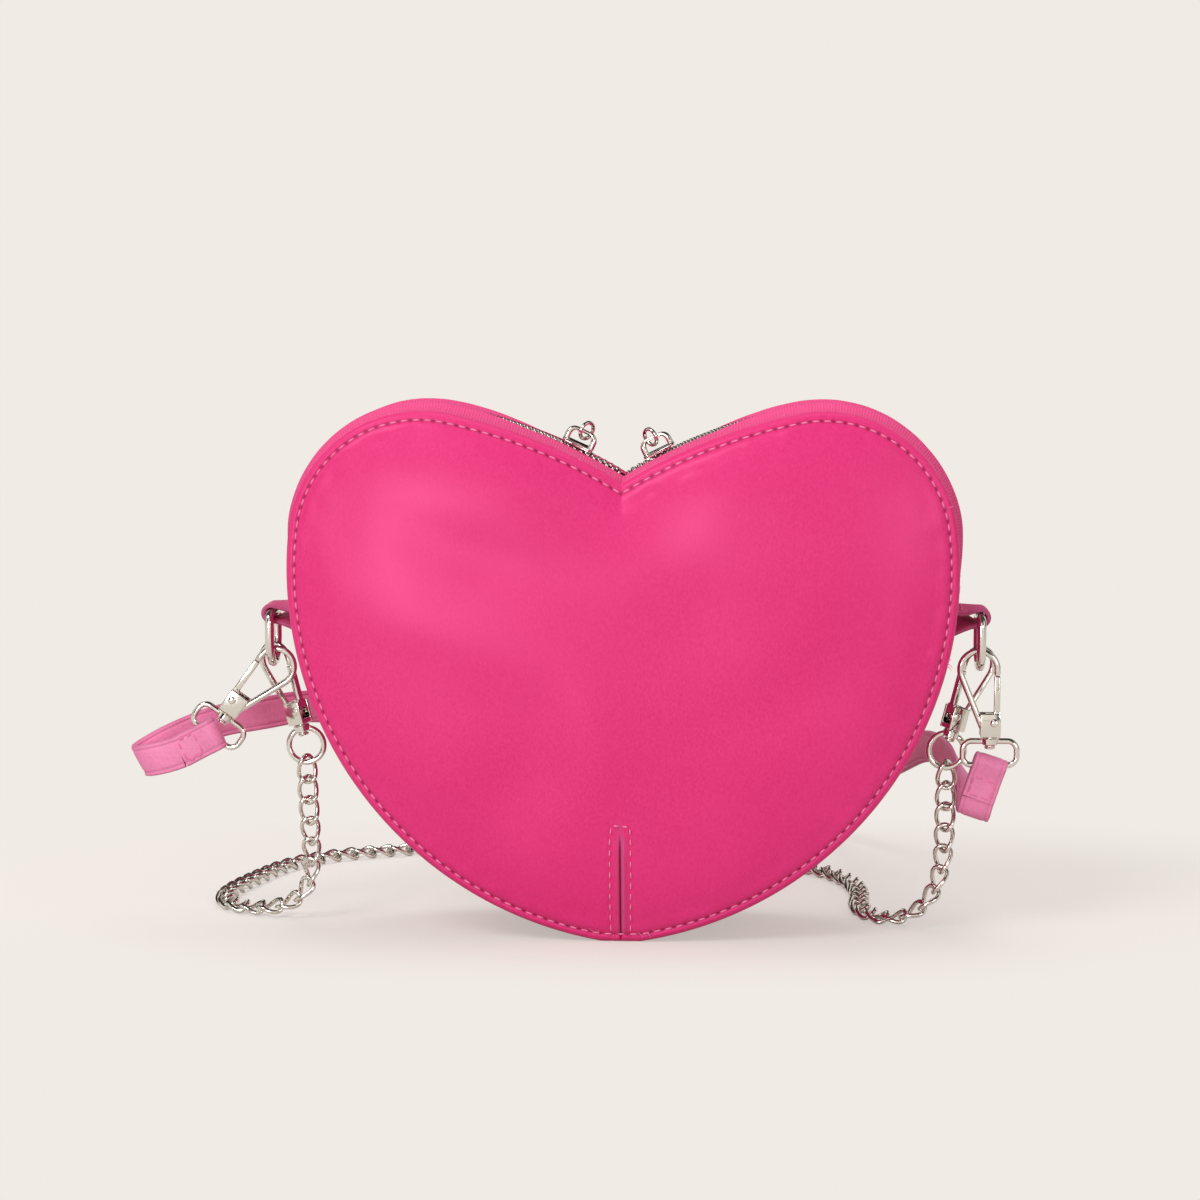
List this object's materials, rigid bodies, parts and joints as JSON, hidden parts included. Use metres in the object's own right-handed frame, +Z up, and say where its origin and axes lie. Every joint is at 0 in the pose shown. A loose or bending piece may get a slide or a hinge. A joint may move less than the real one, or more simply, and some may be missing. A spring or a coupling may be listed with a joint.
{
  "type": "heart shaped purse",
  "caption": "Heart shaped satin purse with a two-slider zip over the lobes, D-rings at the sides, a clip-on metal chain and a clip-on leather strap.",
  "frame": {"origin": "middle of the flat tip that the purse stands on", "axes": "+Z up, +X to the right as seen from the front, the front panel faces -Y"},
  "size_m": [0.2721, 0.1858, 0.1615],
  "materials": {
    "satin": "glossy pink satin",
    "board": "plain stiffener",
    "lining": "plain woven lining",
    "zip_tape": "ribbed woven tape",
    "tab_leather": "smooth pink leather",
    "strap_leather": "grained pink leather",
    "tie": "woven ribbon",
    "spring_steel": "drawn wire",
    "nickel": "bright nickel plate"
  },
  "bodies": {
    "purse": {"chain_floor": "nickel", "chain_left_drop": "nickel", "chain_right_drop": "nickel", "front_board": "board", "front_lining": "lining", "front_panel": "satin", "gusset_lining": "lining", "lower_gusset": "satin", "rear_board": "board", "rear_lining": "lining", "rear_panel": "satin", "strap_end_left": "strap_leather", "strap_end_right": "strap_leather", "strap_hank": "strap_leather", "strap_run_left": "strap_leather", "strap_run_right": "strap_leather", "strap_tie": "tie", "swivel_eye_chain_left": "nickel", "swivel_eye_chain_right": "nickel", "swivel_eye_strap_left": "nickel", "swivel_eye_strap_right": "nickel", "tab_left": "tab_leather", "tab_right": "tab_leather", "zip_end_stops": "nickel", "zip_tape_front": "zip_tape", "zip_tape_rear": "zip_tape", "zip_teeth_front": "nickel", "zip_teeth_rear": "nickel"},
    "slider_left": {"slider_left": "nickel"},
    "pull_left": {"pull_left": "nickel"},
    "d_ring_left": {"d_ring_left": "nickel"},
    "slider_right": {"slider_right": "nickel"},
    "pull_right": {"pull_right": "nickel"},
    "d_ring_right": {"d_ring_right": "nickel"},
    "hook_strap_left": {"hook_frame_strap_left": "nickel", "hook_pin_strap_left": "nickel", "hook_spring_strap_left": "spring_steel"},
    "gate_strap_left": {"hook_gate_strap_left": "nickel"},
    "hook_strap_right": {"hook_frame_strap_right": "nickel", "hook_pin_strap_right": "nickel", "hook_spring_strap_right": "spring_steel"},
    "gate_strap_right": {"hook_gate_strap_right": "nickel"},
    "hook_chain_left": {"hook_frame_chain_left": "nickel", "hook_pin_chain_left": "nickel", "hook_spring_chain_left": "spring_steel"},
    "gate_chain_left": {"hook_gate_chain_left": "nickel"},
    "hook_chain_right": {"hook_frame_chain_right": "nickel", "hook_pin_chain_right": "nickel", "hook_spring_chain_right": "spring_steel"},
    "gate_chain_right": {"hook_gate_chain_right": "nickel"}
  },
  "joints": [
    {"name": "slider_left_travel", "type": "hinge", "parent": "purse", "child": "slider_left", "pos_m": [-0.08562, 0, -0.00235], "axis": [0, 1, 0], "range_deg": [-11.5, 3.2], "deforming": ["zip_teeth_front", "zip_teeth_rear"]},
    {"name": "slider_right_travel", "type": "hinge", "parent": "purse", "child": "slider_right", "pos_m": [0.08562, 0, -0.00235], "axis": [0, 1, 0], "range_deg": [-1.6, 12.5], "deforming": ["zip_teeth_front", "zip_teeth_rear"]},
    {"name": "pull_left_swing", "type": "hinge", "parent": "slider_left", "child": "pull_left", "pos_m": [-0.01232, 0, 0.15281], "axis": [0.9042, 0, -0.4272], "range_deg": [-15, 150]},
    {"name": "pull_right_swing", "type": "hinge", "parent": "slider_right", "child": "pull_right", "pos_m": [0.00859, 0, 0.15099], "axis": [0.8936, 0, 0.4489], "range_deg": [-15, 150]},
    {"name": "d_ring_left_swing", "type": "hinge", "parent": "purse", "child": "d_ring_left", "pos_m": [-0.10817, 0, 0.097], "axis": [0, 1, 0], "range_deg": [-8, 2]},
    {"name": "d_ring_right_swing", "type": "hinge", "parent": "purse", "child": "d_ring_right", "pos_m": [0.10817, 0, 0.097], "axis": [0, 1, 0], "range_deg": [-2, 6]},
    {"name": "hook_strap_left_swivel", "type": "hinge", "parent": "purse", "child": "hook_strap_left", "pos_m": [-0.12196, -0.0037, 0.06605], "axis": [0.5878, 0, 0.809], "range_deg": [-16, 8]},
    {"name": "gate_strap_left_open", "type": "hinge", "parent": "hook_strap_left", "child": "gate_strap_left", "pos_m": [-0.12034, -0.0037, 0.07031], "axis": [0, 1, 0], "range_deg": [0, 25], "stiffness_Nm_per_rad": 0.01, "springref_deg": -17.19},
    {"name": "hook_strap_right_swivel", "type": "hinge", "parent": "purse", "child": "hook_strap_right", "pos_m": [0.11137, -0.0037, 0.06058], "axis": [0, 0, 1], "range_deg": [-8, 8]},
    {"name": "gate_strap_right_open", "type": "hinge", "parent": "hook_strap_right", "child": "gate_strap_right", "pos_m": [0.11257, -0.0037, 0.06498], "axis": [0, 1, 0], "range_deg": [-25, 0], "stiffness_Nm_per_rad": 0.01, "springref_deg": 17.19},
    {"name": "hook_chain_left_swivel", "type": "hinge", "parent": "purse", "child": "hook_chain_left", "pos_m": [-0.1003, 0.00191, 0.06187], "axis": [-0.2419, 0, 0.9703], "range_deg": [-4, 20]},
    {"name": "gate_chain_left_open", "type": "hinge", "parent": "hook_chain_left", "child": "gate_chain_left", "pos_m": [-0.10039, 0.00124, 0.06638], "axis": [0.5426, 0.829, 0.1353], "range_deg": [-25, 0], "stiffness_Nm_per_rad": 0.01, "springref_deg": 17.19},
    {"name": "hook_chain_right_swivel", "type": "hinge", "parent": "purse", "child": "hook_chain_right", "pos_m": [0.1003, 0.00191, 0.06187], "axis": [0.2419, 0, 0.9703], "range_deg": [-20, 4]},
    {"name": "gate_chain_right_open", "type": "hinge", "parent": "hook_chain_right", "child": "gate_chain_right", "pos_m": [0.10039, 0.00124, 0.06638], "axis": [-0.5426, 0.829, 0.1353], "range_deg": [0, 25], "stiffness_Nm_per_rad": 0.01, "springref_deg": -17.19}
  ]
}
